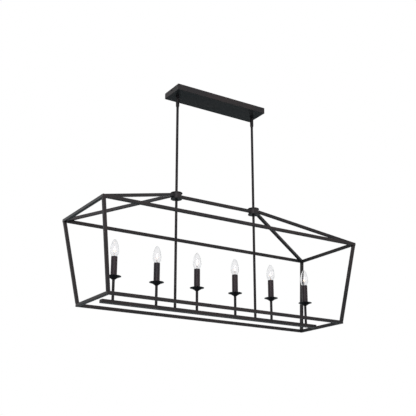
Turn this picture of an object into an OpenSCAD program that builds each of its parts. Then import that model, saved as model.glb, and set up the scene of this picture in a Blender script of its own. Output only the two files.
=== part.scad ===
// Linear island pendant: a welded lantern cage of square tube that carries a row of
// candle lights and hangs on two rods from a long rectangular ceiling canopy.
// +Z is up and X runs along the cage. The origin is on the ceiling at the canopy's middle.

/* [Cage] */
// Length over the upper rails
cage_l = 1245; // [900:5:1600]
// Width over the upper rails
cage_w = 380; // [320:5:480]
// Height from the underside of the lower rails to the top of the hubs
cage_h = 500; // [450:5:640]
// Length over the lower rails
base_l = 1133; // [1080:1:1500]
// Width over the lower rails
base_w = 286; // [220:2:400]
// Rise from the middle of the lower rails to the middle of the upper rails
eave_rise = 350; // [300:5:400]
// Side of the square tube
bar = 12.7; // [10:0.1:14]
// Wall of the square tube
bar_wall = 1.2; // [0.8:0.1:2]
// Radius of the tube's long edges
bar_r = 1.2; // [0.5:0.1:2]

/* [Hubs] */
// Height over both discs
hub_h = 28; // [26:1:36]
// Thickness of a disc
hub_disc_t = 3; // [2:0.5:4]
// Rounding of a disc's edge
hub_disc_r = 0.8; // [0.2:0.1:0.9]
// Diameter of the upper disc
hub_top_d = 51; // [48:1:60]
// Diameter of the lower disc
hub_bottom_d = 49; // [48:1:60]
// Diameter of the drum between the discs
hub_drum_d = 44; // [36:1:46]
// Height over the ridge at which the hip bars' middles meet the hub's axis
hip_lift = 7.5; // [0:0.5:8]

/* [Rods] */
// Distance between the two rods
rod_span = 397; // [300:1:500]
// Drop from the underside of the canopy to the middle of the ridge bar
drop = 465; // [200:5:1200]
// Diameter of the rods
rod_d = 11; // [9:0.5:12]
// Wall of the rods
rod_wall = 1.5; // [1:0.1:1.6]
// Length of rod inside a hub, from each side
hub_grip = 9; // [4:0.5:9.5]
// Length of rod inside its coupling
rod_grip = 18; // [10:1:20]

/* [Swivels] */
// Diameter of the ball
ball_d = 13; // [12:0.5:14]
// Depth of the ball's centre under the canopy
ball_drop = 7.5; // [7:0.5:10]
// Diameter of the ball's neck
neck_d = 7.6; // [6.5:0.1:8]
// Length of the neck inside the coupling
neck_grip = 10; // [6:1:12]
// Diameter of the cup round the ball
cup_d = 16; // [16:0.5:20]
// Swing that the cup's mouth allows to each side, in degrees
swing = 30; // [10:1:32]
// Diameter of the cup's threaded stud
stud_d = 9.7; // [8:0.1:10]
// Height of the stud over the canopy's underside
stud_l = 10; // [8:0.5:14]
// Width over the flats of the locknut
locknut_w = 14; // [13:0.5:17]
// Thickness of the locknut
locknut_t = 4; // [3:0.5:5]
// Diameter of the coupling
coupling_d = 15.5; // [13:0.5:16]
// Depth of the coupling's lower end under the canopy
coupling_reach = 54; // [50:1:70]
// Length of the taper at the coupling's lower end
coupling_taper = 6; // [4:1:16]

/* [Canopy] */
// Length of the canopy
canopy_l = 460; // [440:5:560]
// Width of the canopy
canopy_w = 118; // [100:2:140]
// Height of the canopy
canopy_h = 27; // [24:1:40]
// Thickness of the sheet steel
sheet = 1.2; // [0.8:0.1:1.5]
// Radius of the canopy's outer corners and edges
canopy_r = 2; // [1.6:0.1:5]

/* [Mounting bar] */
// Width of the bar
strap_w = 30; // [24:1:40]
// Thickness of the bar
strap_t = 2; // [1.5:0.1:2.5]
// Height of the bar's turned-down ends
tab_h = 14; // [12:1:20]
// Distance between the two outlet box slots
slot_pitch = 88.9; // [80:0.1:100]
// Length of a slot
slot_l = 14; // [8:0.5:20]
// Width of a slot
slot_w = 5; // [4:0.1:6]
// Depth of the canopy screws under the ceiling
screw_drop = 8; // [6:0.5:9]
// Diameter of the canopy screws
screw_d = 4; // [3:0.5:5]
// Length of a canopy screw under its head
screw_l = 9; // [6:0.5:14]
// Distance of the ground screw from the middle
ground_x = 150; // [110:1:170]

/* [Candle bar] */
// Length of the bar
tray_l = 1050; // [1000:5:1070]
// Width of the bar
tray_w = 25; // [22:0.5:32]
// Height of the bar
tray_h = 13; // [12.5:0.5:18]
// Depth of the bar's middle under the middle of the lower rails
tray_drop = 2.5; // [0:0.5:10]
// Distance from the middle to the outer cover screws
cover_screw_x = 380; // [330:1:420]
// Diameter of the cover screws
cover_screw_d = 2.5; // [2:0.1:3]

/* [Candles] */
// Distance from candle to candle
candle_pitch = 190; // [180:1:200]
// Length of stem that shows between the bar and the drip dish
stem_l = 82; // [50:1:120]
// Diameter of the stems
stem_d = 11; // [9:0.5:11.5]
// Wall of the stems
stem_wall = 1.2; // [1:0.1:1.5]
// Diameter of the stems' and rods' threaded tips
tip_d = 8; // [7.5:0.1:8.4]
// Bore of the threaded tips
tip_bore = 5.2; // [5:0.1:6]
// Width over the flats of the tip nuts
nut_w = 12; // [11:0.5:13]
// Thickness of the tip nuts
nut_t = 4; // [3:0.5:4.5]
// Diameter of the drip dish
dish_d = 60; // [46:1:70]
// Height of the drip dish
dish_h = 14; // [12:0.5:20]
// Thickness of the dish at its rim
dish_t = 1.5; // [1:0.1:2]
// How much the dish flares towards its rim, 1 being a straight cone
dish_flare = 1.6; // [1.2:0.1:2.2]
// Diameter of the dish's foot, where it meets the stem
dish_foot_d = 12; // [11:0.5:14]
// Diameter of the candle sleeve
sleeve_d = 25.4; // [24:0.1:28]
// Length of the candle sleeve
sleeve_l = 85; // [75:1:110]
// Wall of the candle sleeve
sleeve_wall = 1.2; // [0.8:0.1:1.4]

/* [Sockets] */
// Diameter of the socket
socket_d = 15.8; // [15.2:0.1:17]
// Length of the socket
socket_l = 30; // [27:1:36]
// Depth of the socket's mouth under the top of the sleeve
socket_sink = 10; // [8:0.5:14]
// Thickness of the socket bracket
bracket_t = 1; // [0.8:0.1:1.2]
// Width of the socket bracket
bracket_w = 7; // [5:0.5:9]
// Height of the socket that the bracket holds
bracket_hold = 14; // [6:1:20]

/* [Bulbs] */
// Largest diameter of the glass
bulb_d = 35; // [28:1:36]
// Length of the glass from the screw base to the tip
glass_l = 80; // [72:1:100]
// Thickness of the glass
glass_t = 0.8; // [0.6:0.1:1]
// Diameter of the glass at the screw base
glass_foot_d = 11; // [10:0.5:11]
// Height of the glass's largest diameter, as a share of its length
glass_bulge_share = 0.4; // [0.3:0.01:0.5]
// How fast the glass closes towards its tip, less being blunter
glass_taper = 0.55; // [0.5:0.01:1]
// Diameter of the screw base
cap_d = 12; // [11.5:0.1:12.2]
// Length of the screw base
cap_l = 22; // [19:0.5:23]
// Pitch of the screw base's thread
cap_pitch = 2.54; // [2:0.01:3]
// Depth of the screw base's thread
cap_thread = 0.5; // [0.2:0.1:0.8]
// Height of the filament over the screw base
filament_z = 32; // [26:1:40]
// Width of the filament
filament_w = 9; // [6:0.5:12]

/* [Leads] */
// Diameter of the insulated leads
wire_d = 1.7; // [1.4:0.1:1.8]
// Distance of the leads in the candle bar from its middle
wire_y = 6; // [5:0.5:8]

/* [Hidden] */

$fn = 48;
corner_sides = 24;
wire_sides = 24;
thin_sides = 16;
candle_count = 6;
edge_steps = 4;
curve_steps = 10;
glass_steps = 18;

// Overrun of every cut
over = 1;
// Radial clearance of threads and seats, and of pieces that only pass
fit = 0.05;
air = 0.3;
// Radial clearance of the ball in its cup
ball_fit = 0.1;
// Rim, web and boss of the hub's drum
hub_rim = 3;
hub_web = 3;
hub_boss_d = 18;
// Spare angle between the ball's neck and the cup's lip
lip_spare = 5;
// Gap from the ball's centre to the coupling's top, and the slope cut round that top
coupling_gap = 6.4;
coupling_bevel = 2.2;
// Wall of the coupling at the end of its taper
coupling_lip = 0.8;
// Bore for the leads in studs and couplings, and in the ball
lead_bore = 6;
ball_bore = 4.4;
// Distance of the leads' cut ends from the ball's top
lead_cut = 0.8;
// Shoulder between a tube and its threaded tip
shoulder = 1;
// Washer under the locknut, and the thread end that shows past a nut
washer_t = 1.2;
washer_d = 16;
thread_end = 1;
// Heads of the canopy screws, the ground screw and the cover screws
screw_head_d = 7;
screw_head_h = 2.4;
drive_slot_w = 0.8;
drive_slot_depth = 1.2;
ground_screw_d = 4;
ground_screw_l = 4.5;
cover_head_d = 5.6;
cover_screw_l = 7;
boss_d = 6;
// Wire connector
connector_d = 9;
connector_tip_d = 6;
connector_l = 16;
connector_grip = 9;
connector_x = 70;
connector_y = 8;
// Brass shell in the socket, its depth under the mouth, and its centre contact
shell_t = 0.4;
shell_l = 17;
shell_sink = 1;
contact_d = 4;
contact_t = 0.8;
// Lamp cap: its rise over the socket, skirt over the thread, insulator and centre contact
cap_rise = 1;
skirt_l = 4;
insulator_l = 3.5;
contact_l = 1.5;
tip_contact_d = 4.4;
// Glass press and support wires of the filament
press_d = 6;
press_top_d = 3;
press_l = 24;
press_sink = 0.5;
support_d = 0.7;
filament_d = 1;

// Ring on which three leads side by side just clear each other, as a share of their diameter
wire_ring_share = 0.62;

rod_x = rod_span / 2;
canopy_floor_z = -canopy_h;
ball_z = canopy_floor_z - ball_drop;
ridge_z = canopy_floor_z - drop;
hub_top_z = ridge_z + hub_h / 2;
drum_h = hub_h - 2 * hub_disc_t;
foot_z = hub_top_z - cage_h;
base_z = foot_z + bar / 2;
eave_z = base_z + eave_rise;
tray_z = base_z - tray_drop;
tray_top_z = tray_z + tray_h / 2;
tray_foot_z = tray_z - tray_h / 2;
cover_top_z = tray_foot_z + sheet;

eave_x = (cage_l - bar) / 2;
eave_y = (cage_w - bar) / 2;
base_x = (base_l - bar) / 2;
base_y = (base_w - bar) / 2;

tip_drop = sheet + nut_t + thread_end;
seat_r = ball_d / 2 + ball_fit;
lip_angle = swing + asin(neck_d / 2 / seat_r) + lip_spare;
cup_foot_z = ball_z - seat_r * cos(lip_angle);

// Candle heights
dish_z = tray_top_z + stem_l;
dish_flat_r = sleeve_d / 2 + sleeve_wall;
dish_floor = dish_under(dish_flat_r) + dish_t;
candle_floor_z = dish_z + dish_floor;
sleeve_top_z = candle_floor_z + sleeve_l;
socket_top_z = sleeve_top_z - socket_sink;
socket_foot_z = socket_top_z - socket_l;
tip_rise = dish_floor + bracket_t + nut_t + thread_end;
cap_top_z = socket_top_z + cap_rise;
shell_in_r = cap_d / 2 + air;
shell_out_r = shell_in_r + shell_t;
well_z = cap_top_z - cap_l - air - contact_t;

// Leads: three wires side by side on a ring that passes through the ball
wire_ring = wire_d * wire_ring_share;
hot_at = [wire_ring * cos(90), wire_ring * sin(90)];
neutral_at = [wire_ring * cos(210), wire_ring * sin(210)];
ground_at = [wire_ring * cos(330), wire_ring * sin(330)];
bus_z = cover_top_z + wire_d / 2 + air;
stem_wire_y = wire_d / 2 + air;
ground_reach = nut_w + wire_d;
canopy_wire_z = canopy_floor_z + stud_l + wire_d + thread_end;
ground_wire_z = -strap_t - wire_d / 2 - air;

bronze = "#2e2927";
dark_bronze = "#211f1f";
steel = "#9a9a98";
brass = "#b08d4a";
phenolic = "#1c1a18";

function candle_x(k) = (k - (candle_count - 1) / 2) * candle_pitch;

// Height of the dish's underside over its foot at radius r
function dish_under(r) = let (
    u = (r - dish_foot_d / 2) / (dish_d / 2 - dish_foot_d / 2)
) (dish_h - dish_t) * (1 - pow(1 - max(0, min(1, u)), dish_flare));

// Corners of a square of side s with round corners of radius r
function round_square(s, r) = [
    for (quarter = [0:3], i = [0:edge_steps])
        let (a = 90 * (quarter + i / edge_steps), c = s / 2 - r)
        [
            c * (quarter == 0 || quarter == 3 ? 1 : -1) + r * cos(a),
            c * (quarter < 2 ? 1 : -1) + r * sin(a)
        ]
];

// Section of the square tube
module tube_section() {
    difference() {
        polygon(round_square(bar, bar_r));
        square(bar - 2 * bar_wall, center = true);
    }
}

// Square tube along +X from the origin
module tube_along_x(l) {
    rotate([90, 0, 90]) linear_extrude(l) tube_section();
}

// Rail along X with its outer face at y = 0, mitred at both ends
module mitred_rail(l) {
    intersection() {
        translate([-l / 2 - over, bar / 2, 0]) tube_along_x(l + 2 * over);
        translate([0, 0, -bar]) linear_extrude(2 * bar) polygon([
            [-l / 2 - over, -over], [l / 2 + over, -over],
            [l / 2 - bar - over, bar + over], [-l / 2 + bar + over, bar + over]
        ]);
    }
}

// Puts a rail on one of the four sides of a rectangle l by w at height z
module rail_at(turn, l, w, z) {
    along_x = turn % 180 == 0;
    rotate([0, 0, turn]) translate([0, along_x ? -w / 2 : -l / 2, z])
        mitred_rail(along_x ? l : w);
}

// Solid envelope of the upper rails, let down far enough to clear the hips' feet
module eave_ring() {
    translate([0, 0, eave_z - bar]) difference() {
        linear_extrude(bar + bar / 2)
            square([cage_l + 2 * over, cage_w + 2 * over], center = true);
        translate([0, 0, -over]) linear_extrude(2 * bar)
            square([cage_l - 2 * bar, cage_w - 2 * bar], center = true);
    }
}

module corner_post(sx, sy) {
    foot = [sx * base_x, sy * base_y, base_z];
    head = [sx * eave_x, sy * eave_y, eave_z];
    l = norm(head - foot);
    d = (head - foot) / l;
    color(bronze) intersection() {
        translate(foot) rotate([-asin(d.y), atan2(d.x, d.z), 0])
            translate([0, 0, -bar]) linear_extrude(l + 2 * bar) tube_section();
        translate([0, 0, (base_z + eave_z) / 2])
            cube([cage_l + base_l, cage_w + base_w, eave_rise - bar], center = true);
    }
}

module hip_bar(sx, sy) {
    foot = [sx * eave_x, sy * eave_y, eave_z];
    head = [sx * rod_x, 0, ridge_z + hip_lift];
    l = norm(head - foot);
    d = (head - foot) / l;
    color(bronze) difference() {
        intersection() {
            translate(foot) rotate([0, -asin(d.z), atan2(d.y, d.x)])
                translate([-bar, 0, 0]) tube_along_x(l + bar);
            translate([sx > 0 ? 0 : -cage_l / 2, sy > 0 ? 0 : -cage_w / 2, eave_z - cage_h])
                cube([cage_l / 2, cage_w / 2, 2 * cage_h]);
        }
        eave_ring();
        drum_cutters(2 * hub_h);
    }
}

// Solid cylinders of the drums' diameter, to cut the bars that meet them
module drum_cutters(h) {
    for (sx = [-1, 1]) translate([sx * rod_x, 0, ridge_z])
        cylinder(h = h, d = hub_drum_d, center = true);
}

module ridge_bar() {
    color(bronze) difference() {
        translate([-rod_x, 0, ridge_z]) tube_along_x(rod_span);
        drum_cutters(drum_h);
    }
}

// Disc of the hub with a rounded edge, standing on z = 0
module hub_disc(d) {
    rotate_extrude() polygon(concat(
        [[rod_d / 2 + fit, 0]],
        [for (i = [0:edge_steps]) let (a = -90 + 90 * i / edge_steps)
            [d / 2 - hub_disc_r + hub_disc_r * cos(a), hub_disc_r + hub_disc_r * sin(a)]],
        [for (i = [0:edge_steps]) let (a = 90 * i / edge_steps)
            [d / 2 - hub_disc_r + hub_disc_r * cos(a),
             hub_disc_t - hub_disc_r + hub_disc_r * sin(a)]],
        [[rod_d / 2 + fit, hub_disc_t]]
    ));
}

module hub_top_discs() {
    color(bronze) for (sx = [-1, 1])
        translate([sx * rod_x, 0, ridge_z + drum_h / 2]) hub_disc(hub_top_d);
}

module hub_bottom_discs() {
    color(bronze) for (sx = [-1, 1])
        translate([sx * rod_x, 0, ridge_z - hub_h / 2]) hub_disc(hub_bottom_d);
}

// Drum of a hub: a rim that the bars are welded to, a web, and a boss for the rods
module hub_drums() {
    bore_r = rod_d / 2 + fit;
    boss_r = hub_boss_d / 2;
    rim_r = hub_drum_d / 2;
    half_h = drum_h / 2;
    half_web = hub_web / 2;
    color(bronze) for (sx = [-1, 1]) translate([sx * rod_x, 0, ridge_z])
        rotate_extrude() polygon([
            [bore_r, -half_h], [boss_r, -half_h], [boss_r, -half_web],
            [rim_r - hub_rim, -half_web], [rim_r - hub_rim, -half_h], [rim_r, -half_h],
            [rim_r, half_h], [rim_r - hub_rim, half_h], [rim_r - hub_rim, half_web],
            [boss_r, half_web], [boss_r, half_h], [bore_r, half_h]
        ]);
}

module upper_rod(sx) {
    foot = ridge_z + drum_h / 2 - hub_grip;
    head = canopy_floor_z - coupling_reach + rod_grip;
    color(bronze) translate([sx * rod_x, 0, 0]) difference() {
        translate([0, 0, foot]) cylinder(h = head - foot, d = rod_d);
        translate([0, 0, foot - over])
            cylinder(h = head - foot + 2 * over, d = rod_d - 2 * rod_wall);
    }
}

// Tube standing on the candle bar, with a threaded tip below that passes into the bar
module tipped_tube(h, d, wall) {
    difference() {
        union() {
            cylinder(h = h, d = d);
            translate([0, 0, -tip_drop]) cylinder(h = tip_drop + shoulder, d = tip_d);
        }
        translate([0, 0, shoulder]) cylinder(h = h, d = d - 2 * wall);
        translate([0, 0, -tip_drop - over])
            cylinder(h = tip_drop + shoulder + 2 * over, d = tip_bore);
    }
}

module lower_rod(sx) {
    head = ridge_z - drum_h / 2 + hub_grip;
    color(bronze) translate([sx * rod_x, 0, tray_top_z])
        tipped_tube(head - tray_top_z, rod_d, rod_wall);
}

// Swivel: the cup is fixed in the canopy and the ball turns in it
module swivel_cups() {
    color(dark_bronze) for (sx = [-1, 1]) translate([sx * rod_x, 0, 0]) difference() {
        union() {
            translate([0, 0, cup_foot_z]) cylinder(h = canopy_floor_z - cup_foot_z, d = cup_d);
            translate([0, 0, cup_foot_z])
                cylinder(h = canopy_floor_z + stud_l - cup_foot_z, d = stud_d);
        }
        translate([0, 0, ball_z]) sphere(seat_r);
        translate([0, 0, ball_z]) cylinder(h = ball_drop + stud_l + over, d = lead_bore);
    }
}

module swivel_balls() {
    color(dark_bronze) for (sx = [-1, 1]) translate([sx * rod_x, 0, ball_z]) difference() {
        union() {
            sphere(d = ball_d);
            translate([0, 0, -coupling_gap - neck_grip])
                cylinder(h = coupling_gap + neck_grip, d = neck_d);
        }
        translate([0, 0, -coupling_gap - neck_grip - over])
            cylinder(h = coupling_gap + neck_grip + ball_d, d = ball_bore);
    }
}

module rod_couplings() {
    top = -ball_drop - coupling_gap;
    bottom = -coupling_reach;
    neck_r = neck_d / 2 + fit;
    r = coupling_d / 2;
    color(bronze) for (sx = [-1, 1]) translate([sx * rod_x, 0, canopy_floor_z])
        rotate_extrude() polygon([
            [neck_r, top], [r - coupling_bevel, top], [r, top - coupling_bevel],
            [r, bottom + coupling_taper], [rod_d / 2 + coupling_lip, bottom],
            [rod_d / 2 + fit, bottom], [rod_d / 2 + fit, bottom + rod_grip],
            [lead_bore / 2, bottom + rod_grip], [lead_bore / 2, top - neck_grip],
            [neck_r, top - neck_grip]
        ]);
}

// Ring of height h, or a hexagon nut when sides is 6, standing on z = 0
module ring(outer_d, inner_d, h, sides = $fn) {
    difference() {
        cylinder(h = h, d = outer_d, $fn = sides);
        translate([0, 0, -over]) cylinder(h = h + 2 * over, d = inner_d);
    }
}

module hex_nut(across, inner_d, h) {
    ring(across / cos(30), inner_d, h, 6);
}

module swivel_lock_washers() {
    color(steel) for (sx = [-1, 1]) translate([sx * rod_x, 0, canopy_floor_z + sheet])
        ring(washer_d, stud_d + 2 * fit, washer_t);
}

module swivel_locknuts() {
    color(steel) for (sx = [-1, 1])
        translate([sx * rod_x, 0, canopy_floor_z + sheet + washer_t])
            hex_nut(locknut_w, stud_d + 2 * fit, locknut_t);
}

// Block of the canopy's form with round edges of radius r, from z = -h to z = rise
module canopy_block(l, w, h, r, rise = 0) {
    hull() for (sx = [-1, 1], sy = [-1, 1])
        translate([sx * (l / 2 - r), sy * (w / 2 - r), -h])
            rotate_extrude($fn = corner_sides) polygon(concat(
                [for (i = [0:edge_steps]) let (a = 90 * i / edge_steps)
                    [r * sin(a), r * (1 - cos(a))]],
                [[r, h + rise], [0, h + rise]]
            ));
}

module canopy_shell() {
    color(bronze) difference() {
        canopy_block(canopy_l, canopy_w, canopy_h, canopy_r);
        canopy_block(canopy_l - 2 * sheet, canopy_w - 2 * sheet, canopy_h - sheet,
            canopy_r - sheet, over);
        for (sx = [-1, 1]) {
            translate([sx * rod_x, 0, canopy_floor_z - over])
                cylinder(h = sheet + 2 * over, d = stud_d + 2 * air);
            translate([sx * canopy_l / 2, 0, -screw_drop]) rotate([0, 90, 0])
                cylinder(h = 2 * (sheet + over), d = screw_d + 2 * air, center = true);
        }
    }
}

module mounting_bar() {
    l = canopy_l - 2 * sheet;
    color(steel) difference() {
        union() {
            translate([-l / 2, -strap_w / 2, -strap_t]) cube([l, strap_w, strap_t]);
            for (sx = [-1, 1]) translate([sx > 0 ? l / 2 - strap_t : -l / 2, -strap_w / 2, -tab_h])
                cube([strap_t, strap_w, tab_h]);
        }
        for (sx = [-1, 1]) {
            translate([sx * slot_pitch / 2, 0, -strap_t - over]) slot(strap_t + 2 * over);
            translate([sx * l / 2, 0, -screw_drop]) rotate([0, 90, 0])
                cylinder(h = 2 * (strap_t + over), d = screw_d + 2 * fit, center = true);
        }
        translate([-ground_x, 0, -strap_t - over])
            cylinder(h = strap_t + 2 * over, d = ground_screw_d + 2 * fit);
    }
}

module slot(h) {
    for (sx = [-1, 1]) translate([sx * (slot_l - slot_w) / 2, 0, 0])
        cylinder(h = h, d = slot_w);
    translate([-(slot_l - slot_w) / 2, -slot_w / 2, 0]) cube([slot_l - slot_w, slot_w, h]);
}

// Round-headed screw pointing along +Z, with the underside of its head at z = 0
module pan_screw(d, l, head_d, head_h) {
    cylinder(h = l, d = d);
    difference() {
        translate([0, 0, -head_h]) cylinder(h = head_h, d1 = head_d - head_h, d2 = head_d);
        translate([-head_d, -drive_slot_w / 2, -head_h - over])
            cube([2 * head_d, drive_slot_w, drive_slot_depth + over]);
    }
}

module canopy_screws() {
    color(dark_bronze) for (sx = [-1, 1]) translate([sx * canopy_l / 2, 0, -screw_drop])
        rotate([0, -sx * 90, 0]) pan_screw(screw_d, screw_l, screw_head_d, screw_head_h);
}

module ground_screw() {
    color("#3c8a4a") translate([-ground_x, 0, -ground_screw_l])
        pan_screw(ground_screw_d, ground_screw_l - air, screw_head_d, screw_head_h);
}

// One straight run of a lead from p to q
module run(p, q) {
    l = norm(q - p);
    d = (q - p) / l;
    translate(p) rotate([0, acos(d.z), atan2(d.y, d.x)]) cylinder(h = l, d = wire_d, $fn = wire_sides);
}

// Lead through a list of points, round where it turns and where it joins another
module lead(points, joins_first = false, joins_last = false) {
    last = len(points) - 1;
    for (i = [1:last]) run(points[i - 1], points[i]);
    for (i = [joins_first ? 0 : 1:joins_last ? last : last - 1])
        translate(points[i]) sphere(d = wire_d + fit, $fn = wire_sides);
}

module canopy_leads() {
    start_z = ball_z + ball_d / 2 + lead_cut;
    end_x = -connector_x + connector_grip;
    for (w = [[hot_at, 1, "#1a1a1a"], [neutral_at, -1, "#dcdcd6"]])
        color(w[2]) lead([
            [-rod_x + w[0].x, w[0].y, start_z],
            [-rod_x + w[0].x, w[0].y, canopy_wire_z],
            [-rod_x + w[0].x, w[1] * connector_y, canopy_wire_z],
            [end_x, w[1] * connector_y, canopy_wire_z]
        ]);
    // The bare ground lead ends at the shank of the ground screw, between its head and the bar
    color("#b87333") lead([
        [-rod_x + ground_at.x, ground_at.y, start_z],
        [-rod_x + ground_at.x, ground_at.y, ground_wire_z],
        [-ground_x - ground_screw_d / 2 - fit, ground_at.y, ground_wire_z]
    ]);
}

module wire_connectors() {
    color("#c9772b") for (sy = [-1, 1])
        translate([-connector_x, sy * connector_y, canopy_wire_z]) rotate([0, 90, 0])
            difference() {
                cylinder(h = connector_l, d1 = connector_d, d2 = connector_tip_d);
                translate([0, 0, -over])
                    cylinder(h = connector_grip + over, d = wire_d + 2 * fit, $fn = wire_sides);
            }
}

// Half of the candle bar's section, a channel that is open below, with a round upper edge
channel_half = concat(
    [[0, tray_h - sheet], [tray_w / 2 - sheet, tray_h - sheet], [tray_w / 2 - sheet, 0]],
    [[tray_w / 2, 0]],
    [for (i = [0:edge_steps]) let (a = 90 * i / edge_steps)
        [tray_w / 2 - bar_r + bar_r * cos(a), tray_h - bar_r + bar_r * sin(a)]],
    [[0, tray_h]]
);

// Candle bar with a boss for each cover screw
module candle_bar() {
    boss_h = tray_h - 2 * sheet;
    color(bronze) difference() {
        union() {
            translate([-tray_l / 2, 0, tray_foot_z]) rotate([90, 0, 90]) linear_extrude(tray_l) {
                polygon(channel_half);
                mirror([1, 0]) polygon(channel_half);
            }
            for (x = cover_screw_places()) translate([x, 0, cover_top_z])
                cylinder(h = boss_h + sheet / 2, d = boss_d);
        }
        for (x = cover_screw_places()) translate([x, 0, cover_top_z - over])
            cylinder(h = cover_screw_l + over, d = cover_screw_d + 2 * fit);
        for (x = tip_places()) translate([x, 0, tray_top_z - sheet - over])
            cylinder(h = sheet + 2 * over, d = tip_d + 2 * fit);
    }
}

function cover_screw_places() = [-cover_screw_x, 0, cover_screw_x];
function tip_places() = concat([-rod_x, rod_x], [for (k = [0:candle_count - 1]) candle_x(k)]);

module bar_end_caps() {
    color(bronze) for (sx = [-1, 1])
        translate([sx > 0 ? tray_l / 2 - sheet : -tray_l / 2, -tray_w / 2 + sheet, tray_foot_z])
            cube([sheet, tray_w - 2 * sheet, tray_h - sheet]);
}

module bar_cover() {
    l = tray_l - 2 * sheet - 2 * air;
    w = tray_w - 2 * sheet - 2 * air;
    color(bronze) difference() {
        translate([-l / 2, -w / 2, tray_foot_z]) cube([l, w, sheet]);
        for (x = cover_screw_places()) {
            translate([x, 0, tray_foot_z - over])
                cylinder(h = sheet + 2 * over, d = cover_screw_d + 2 * air);
            translate([x, 0, tray_foot_z])
                cylinder(h = sheet, d1 = cover_head_d + 2 * fit, d2 = cover_screw_d + 2 * fit);
            translate([x, 0, tray_foot_z - over]) cylinder(h = over, d = cover_head_d + 2 * fit);
        }
    }
}

module cover_screws() {
    color(dark_bronze) for (x = cover_screw_places()) translate([x, 0, tray_foot_z]) {
        cylinder(h = sheet, d1 = cover_head_d, d2 = cover_screw_d);
        cylinder(h = cover_screw_l, d = cover_screw_d);
    }
}

module bar_nuts() {
    color(steel) for (x = tip_places()) translate([x, 0, tray_top_z - sheet - nut_t])
        hex_nut(nut_w, tip_d + 2 * fit, nut_t);
}

// Places its children on each candle's axis, at height z
module on_candles(z) {
    for (k = [0:candle_count - 1]) translate([candle_x(k), 0, z]) children();
}

module candle_stems() {
    color(bronze) on_candles(tray_top_z) {
        tipped_tube(stem_l, stem_d, stem_wall);
        difference() {
            translate([0, 0, stem_l - sheet]) cylinder(h = sheet + tip_rise, d = tip_d);
            translate([0, 0, stem_l - sheet - over])
                cylinder(h = sheet + tip_rise + 2 * over, d = tip_bore);
        }
        translate([0, 0, stem_l - sheet]) ring(stem_d, tip_d, sheet);
    }
}

// Drip dish: a flared cone with a round rim, and a flat seat for the sleeve inside
module drip_dishes() {
    foot_r = dish_foot_d / 2;
    lip = dish_t / 2;
    lip_r = dish_d / 2 - lip;
    hole_r = tip_d / 2 + fit;
    under = [for (i = [0:curve_steps]) let (r = foot_r + (lip_r - foot_r) * i / curve_steps)
        [r, dish_under(r)]];
    rim = [for (i = [1:2 * edge_steps - 1]) let (a = -90 + 90 * i / edge_steps)
        [lip_r + lip * cos(a), dish_h - lip + lip * sin(a)]];
    inner = [for (i = [0:curve_steps]) let (r = lip_r - (lip_r - dish_flat_r) * i / curve_steps)
        [r, dish_under(r) + dish_t]];
    color(dark_bronze) on_candles(dish_z) rotate_extrude() polygon(concat(
        [[hole_r, 0]], under, rim, inner, [[hole_r, dish_floor]]
    ));
}

module dish_nuts() {
    color(steel) on_candles(candle_floor_z + bracket_t) hex_nut(nut_w, tip_d + 2 * fit, nut_t);
}

module socket_brackets() {
    side_x = socket_d / 2;
    h = socket_foot_z + bracket_hold - candle_floor_z;
    color(steel) on_candles(candle_floor_z) {
        difference() {
            union() {
                cylinder(h = bracket_t, d = nut_w);
                translate([0, -bracket_w / 2, 0])
                    cube([side_x + bracket_t, bracket_w, bracket_t]);
            }
            translate([0, 0, -over])
                cylinder(h = bracket_t + 2 * over, d = tip_d + 2 * fit);
        }
        translate([side_x, -bracket_w / 2, 0]) cube([bracket_t, bracket_w, h]);
    }
}

module sockets() {
    color(phenolic) on_candles(0) difference() {
        translate([0, 0, socket_foot_z]) cylinder(h = socket_l, d = socket_d);
        translate([0, 0, well_z])
            cylinder(h = socket_top_z - well_z + over, r = shell_out_r + fit);
    }
}

module socket_shells() {
    color(brass) on_candles(0) {
        translate([0, 0, socket_top_z - shell_l - shell_sink])
            ring(2 * shell_out_r, 2 * shell_in_r, shell_l);
        translate([0, 0, well_z]) cylinder(h = contact_t, d = contact_d);
    }
}

module candle_sleeves() {
    r = sleeve_d / 2;
    lip = sleeve_wall / 2;
    color(dark_bronze) on_candles(candle_floor_z) rotate_extrude() polygon(concat(
        [[r - sleeve_wall, 0], [r, 0]],
        [for (i = [0:2 * edge_steps]) let (a = 90 * i / edge_steps)
            [r - lip + lip * cos(a), sleeve_l - lip + lip * sin(a)]]
    ));
}

// Leads of the fixture: down the left rod, along the candle bar and up every stem
module fixture_leads() {
    start_z = ball_z + ball_d / 2 - lead_cut;
    end_x = candle_x(candle_count - 1);
    for (w = [[hot_at, 1, "#1a1a1a"], [neutral_at, -1, "#dcdcd6"]]) color(w[2]) {
        lead([
            [-rod_x + w[0].x, w[0].y, start_z],
            [-rod_x + w[0].x, w[0].y, bus_z],
            [-rod_x + w[0].x, w[1] * wire_y, bus_z]
        ], joins_last = true);
        run([-end_x, w[1] * wire_y, bus_z], [end_x, w[1] * wire_y, bus_z]);
        on_candles(0) lead([
            [0, w[1] * wire_y, bus_z],
            [0, w[1] * stem_wire_y, bus_z],
            [0, w[1] * stem_wire_y, socket_foot_z]
        ], joins_first = true);
    }
    color("#b87333") lead([
        [-rod_x + ground_at.x, ground_at.y, start_z],
        [-rod_x + ground_at.x, ground_at.y, bus_z],
        [-rod_x + ground_reach, ground_at.y, bus_z],
        [-rod_x + ground_reach, ground_at.y, tray_top_z - sheet]
    ]);
}

// Outline of the glass, drawn in by the thickness t: a quarter sine from the screw base up to
// the bulge, then a power of a cosine to the tip
function glass_outline(t) = [
    for (i = [0:glass_steps])
        let (s = i / glass_steps, r = bulb_d / 2 - t, foot_r = glass_foot_d / 2 - t)
        [
            s < glass_bulge_share
                ? foot_r + (r - foot_r) * sin(90 * s / glass_bulge_share)
                : r * pow(cos(90 * (s - glass_bulge_share) / (1 - glass_bulge_share)), glass_taper),
            s * (glass_l - t)
        ]
];

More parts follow.
